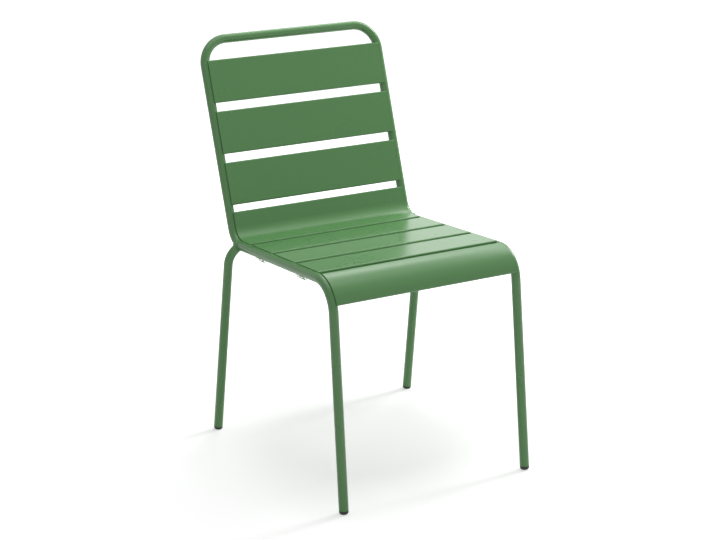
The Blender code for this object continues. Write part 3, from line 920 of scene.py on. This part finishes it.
class NodeSet:
    def __init__(self, tree):
        self.tree = tree
        tree.nodes.clear()

    def add(self, kind, settings=None, values=None, output=0):
        # Settings come first, because they can change which sockets a node has
        node = self.tree.nodes.new(kind)
        for key, value in (settings or {}).items():
            setattr(node, key, value)
        for key, value in (values or {}).items():
            if isinstance(value, Socket):
                self.tree.links.new(value.output, node.inputs[key])
            else:
                node.inputs[key].default_value = value
        return Socket(self, node.outputs[output])

    def noise(self, scale, detail=2.0):
        place = self.add("ShaderNodeTexCoord", output="Object")
        return self.add("ShaderNodeTexNoise", values={"Vector": place, "Scale": scale, "Detail": detail})

    def finish(self, shader, kind="ShaderNodeOutputMaterial"):
        self.tree.links.new(shader.output, self.tree.nodes.new(kind).inputs["Surface"])


def newFinish(name):
    material = bpy.data.materials.new(name)
    material.use_nodes = True
    return material, NodeSet(material.node_tree)


def mixColor(nodes, amount, first, second):
    settings = {"data_type": "RGBA"}
    return nodes.add("ShaderNodeMix", settings, {0: amount, 6: (*first, 1), 7: (*second, 1)}, output=2)


def wander(middle, spread, noise):
    # A value that the noise, from 0 to 1, moves about its middle
    return middle + (noise - 0.5) * spread


def makeBump(nodes, finish, height):
    return nodes.add("ShaderNodeBump", values={
        "Strength": finish["bumpStrength"], "Distance": finish["bumpHeight"], "Height": height,
    })


paint = {
    "color": (0.1, 0.28, 0.086),
    "paler": (0.107, 0.291, 0.093),
    "roughness": 0.28,
    "roughnessSpread": 0.06,
    "cloudScale": 9.0,           # slow changes over a slat
    "peelScale": 520.0,          # orange peel, about 2 mm
    "grainScale": 2600.0,
    "grainShare": 0.25,
    "bumpHeight": 0.00002,
    "bumpStrength": 0.5,
}


def makePaint():
    material, nodes = newFinish("powderCoat")
    cloud = nodes.noise(paint["cloudScale"], detail=4.0)
    peel = nodes.noise(paint["peelScale"])
    grain = nodes.noise(paint["grainScale"])
    shader = nodes.add("ShaderNodeBsdfPrincipled", values={
        "Base Color": mixColor(nodes, cloud, paint["color"], paint["paler"]),
        "Roughness": wander(paint["roughness"], paint["roughnessSpread"], cloud),
        "Normal": makeBump(nodes, paint, peel + grain * paint["grainShare"]),
    })
    nodes.finish(shader)
    return material


capPlastic = {
    "color": (0.012, 0.012, 0.013),
    "dusty": (0.03, 0.03, 0.03),
    "dustShare": 0.5,
    "dustScale": 150.0,
    "roughness": 0.45,
    "roughnessSpread": 0.1,
    "grainScale": 1500.0,
    "bumpHeight": 0.00002,
    "bumpStrength": 0.4,
}


def makeCapPlastic():
    material, nodes = newFinish("blackPlastic")
    dust = nodes.noise(capPlastic["dustScale"], detail=4.0)
    dusting = dust * capPlastic["dustShare"]
    shader = nodes.add("ShaderNodeBsdfPrincipled", values={
        "Base Color": mixColor(nodes, dusting, capPlastic["color"], capPlastic["dusty"]),
        "Roughness": wander(capPlastic["roughness"], capPlastic["roughnessSpread"], dust),
        "Normal": makeBump(nodes, capPlastic, nodes.noise(capPlastic["grainScale"])),
    })
    nodes.finish(shader)
    return material


padPlastic = {
    "clear": (0.98, 0.985, 0.98),
    "rim": (0.5, 0.53, 0.51),    # painted shade, where it is seen edge on
    "rimWidth": 0.55,
    "roughness": 0.08,
    "roughnessSpread": 0.04,
    "refraction": 1.2,
    "grainScale": 900.0,
}


def makePadPlastic():
    material, nodes = newFinish("clearPlastic")
    frost = nodes.noise(padPlastic["grainScale"])
    # Painted shade: the base colour turns grey where the pad is seen edge on, for the darker look of clear
    # plastic at its outline
    edgeOn = nodes.add("ShaderNodeLayerWeight", values={"Blend": padPlastic["rimWidth"]}, output="Facing")
    shader = nodes.add("ShaderNodeBsdfPrincipled", values={
        "Base Color": mixColor(nodes, edgeOn, padPlastic["clear"], padPlastic["rim"]),
        "Roughness": wander(padPlastic["roughness"], padPlastic["roughnessSpread"], frost),
        "Transmission Weight": 1.0,
        "IOR": padPlastic["refraction"],
    })
    nodes.finish(shader)
    return material


# Studio: pale floor, white world and softboxes

studio = {
    "fill": 0.25,                # the world's light on the chair
    "floorSize": 40,
    "floorColor": (0.8, 0.8, 0.8, 1),
    "glowWithPaintedShade": ((0.18, 0.33), (0.42, 0.56), (1.6, 1.0)),    # distance from the middle, white added: less near the middle, which paints the floor under the chair darker on top of its real shadow
    "aim": (0, 0, 0.45),
    "softboxes": [               # name, place, width, height, brightness
        ("overhead", (0, 0.1, 2.3), 1.8, 1.8, 1.1),
        ("rearLow", (1.7, 2.9, 0.95), 1.8, 0.6, 0.9),
        ("rearMiddle", (1.7, 2.5, 1.75), 1.6, 0.7, 0.3),
        ("rearHigh", (1.5, 2.0, 2.3), 1.4, 0.8, 1.1),
        ("overheadRear", (1.2, 1.3, 2.6), 1.2, 0.8, 3.7),
        ("right", (2.0, 0.3, 2.2), 1.0, 1.0, 7.6),
        ("frontRight", (1.5, -2.4, 0.45), 1.0, 0.8, 0.9),
        ("frontLeft", (-1.5, -2.4, 1.6), 1.2, 1.6, 0.55),
        ("spot", (3.3, 0.2, 2.6), 0.6, 0.6, 30.0),
    ],
}


def seenDirectly(nodes):
    # 1 for what the camera sees, also in a reflection or through the clear pads
    camera = nodes.add("ShaderNodeLightPath", output="Is Camera Ray")
    glossy = nodes.add("ShaderNodeLightPath", output="Is Glossy Ray")
    through = nodes.add("ShaderNodeLightPath", output="Is Transmission Ray")
    return nodes.add("ShaderNodeClamp", values={"Value": camera + glossy + through})


def floorGlow(nodes):
    # The white that the floor adds to what the camera sees, in straight steps from stop to stop. It is least
    # near the chair's middle, so the grey under the chair is partly painted shade, on top of the real shadow
    # of the lamps.
    place = nodes.add("ShaderNodeTexCoord", output="Object")
    distance = nodes.add("ShaderNodeVectorMath", {"operation": "LENGTH"}, {0: place}, output="Value")
    white = studio["glowWithPaintedShade"][0][1]
    for (near, less), (far, more) in zip(studio["glowWithPaintedShade"], studio["glowWithPaintedShade"][1:]):
        white = white + nodes.add("ShaderNodeMapRange", values={
            "Value": distance, "From Min": near, "From Max": far, "To Min": 0.0, "To Max": more - less,
        })
    return white


def addSoftbox(name, place, width, height, brightness):
    lamp = bpy.data.lights.new(name, "AREA")
    lamp.shape = "RECTANGLE"
    lamp.size = width
    lamp.size_y = height
    lamp.energy = brightness * math.pi * width * height    # as bright at any size
    softbox = bpy.data.objects.new(name, lamp)
    bpy.context.scene.collection.objects.link(softbox)
    softbox.location = place
    softbox.rotation_euler = (place - Vector(studio["aim"])).to_track_quat("Z", "Y").to_euler()
    softbox.visible_camera = False


def makeStudio():
    world = bpy.data.worlds.new("studio")
    bpy.context.scene.world = world
    world.use_nodes = True
    nodes = NodeSet(world.node_tree)
    seen = seenDirectly(nodes)
    strength = studio["fill"] + seen * (1 - studio["fill"])
    sky = nodes.add("ShaderNodeBackground", values={"Color": (1, 1, 1, 1), "Strength": strength})
    nodes.finish(sky, "ShaderNodeOutputWorld")
    startClean()
    bpy.ops.mesh.primitive_plane_add(size=studio["floorSize"])
    floor = bpy.context.object
    floor.name = "floor"
    material, nodes = newFinish("paper")
    diffuse = nodes.add("ShaderNodeBsdfDiffuse", values={"Color": studio["floorColor"]})
    # The glow is least under the chair: painted shade there, besides the real shadow
    shine = nodes.add("ShaderNodeEmission", values={"Strength": seenDirectly(nodes) * floorGlow(nodes)})
    nodes.finish(nodes.add("ShaderNodeAddShader", values={0: diffuse, 1: shine}))
    floor.data.materials.append(material)
    for name, place, width, height, brightness in studio["softboxes"]:
        addSoftbox(name, Vector(place), width, height, brightness)
    bpy.context.scene.view_settings.view_transform = "Standard"


makeStudio()
print("studio lit")


# Every piece gets its finish and stands for the node of its name


def nodeName(piece):
    # footCapFrontRight stands for foot_cap_front_right, and seatSlat1 for seat_slat_1
    return re.sub("([A-Z0-9])", r"_\1", piece.name).lower()


green = [mainFrame, rearLegRight, rearLegLeft, rearLegWeldRight, rearLegWeldLeft, curvedSlat, frontSlat]
black = [capFrontRight, capFrontLeft, capRearRight, capRearLeft]
for pieces, material, slotName in (
    (green + seatSlats + backSlats, makePaint(), "green_paint"),
    (black, makeCapPlastic(), "black_plastic"),
    (pads, makePadPlastic(), "clear_plastic"),
):
    for piece in pieces:
        piece.data.materials.clear()
        piece.data.materials.append(material)
        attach(piece, "root")
        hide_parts(nodeName(piece))
print("finishes given")
